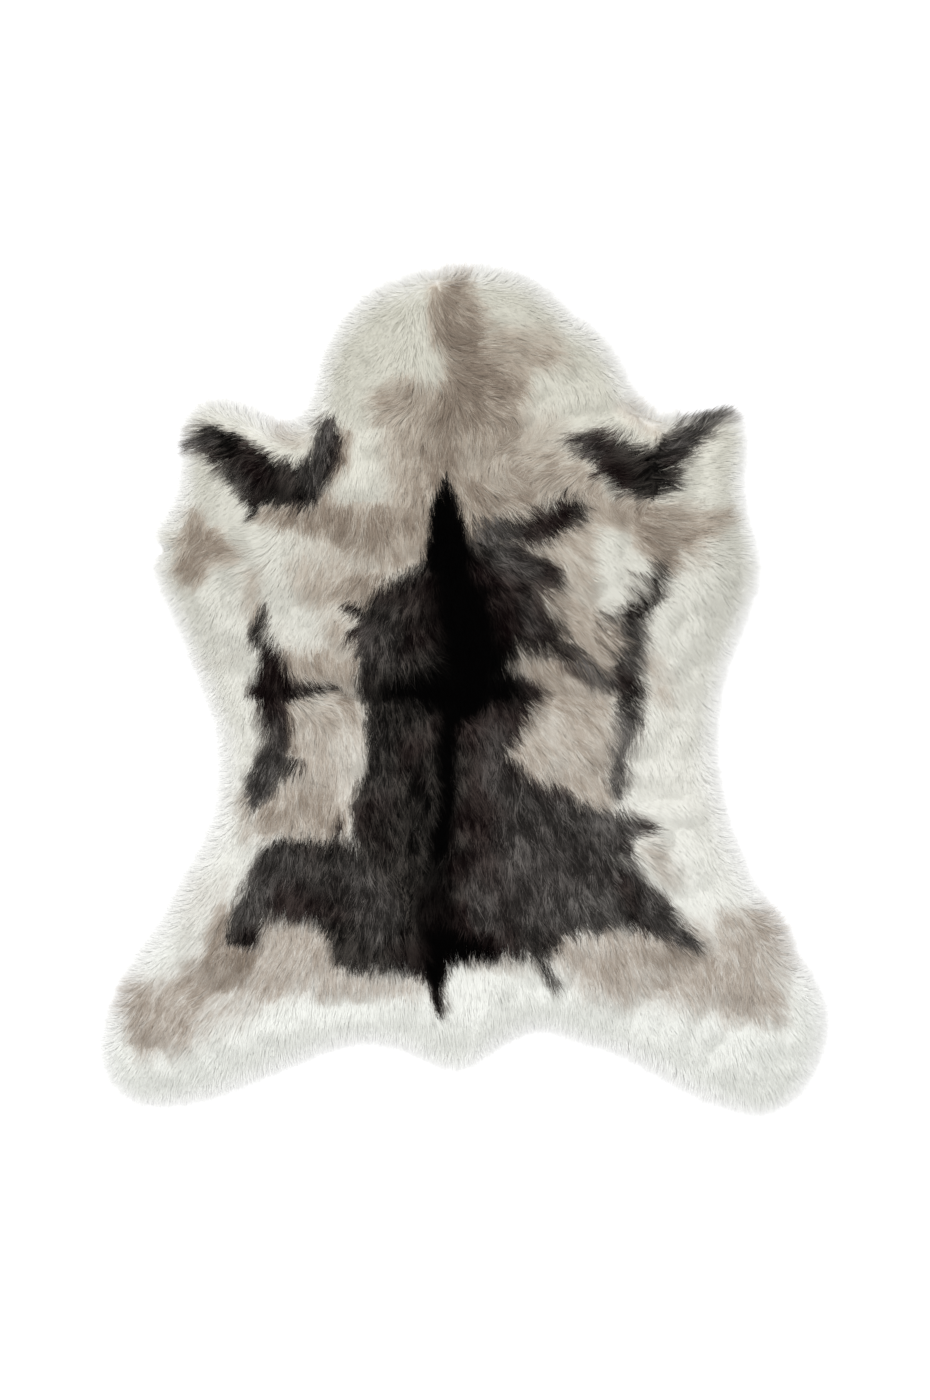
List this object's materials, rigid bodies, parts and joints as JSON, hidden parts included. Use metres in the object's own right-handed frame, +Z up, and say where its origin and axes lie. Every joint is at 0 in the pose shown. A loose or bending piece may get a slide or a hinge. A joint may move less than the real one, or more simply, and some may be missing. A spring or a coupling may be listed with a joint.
{
  "type": "reindeer hide",
  "caption": "Tanned hide with its winter coat on, laid flat with the hair up: a thick lumpy pile in the animal's outline, with locks of hair round its rim.",
  "frame": {"origin": "middle of the hide's outline, on the surface that it lies on", "axes": "+Y along the back towards the neck, +X to the viewer's right when the neck is at the top, +Z up through the hair"},
  "size_m": [0.9068, 1.0776, 0.0447],
  "materials": {
    "coat": "long dense hair, cream with taupe and dark brown patches, matte with a faint sheen",
    "skin": "undyed tanned skin side, soft and matte like suede"
  },
  "bodies": {
    "root": {"hide": "coat"}
  },
  "joints": []
}
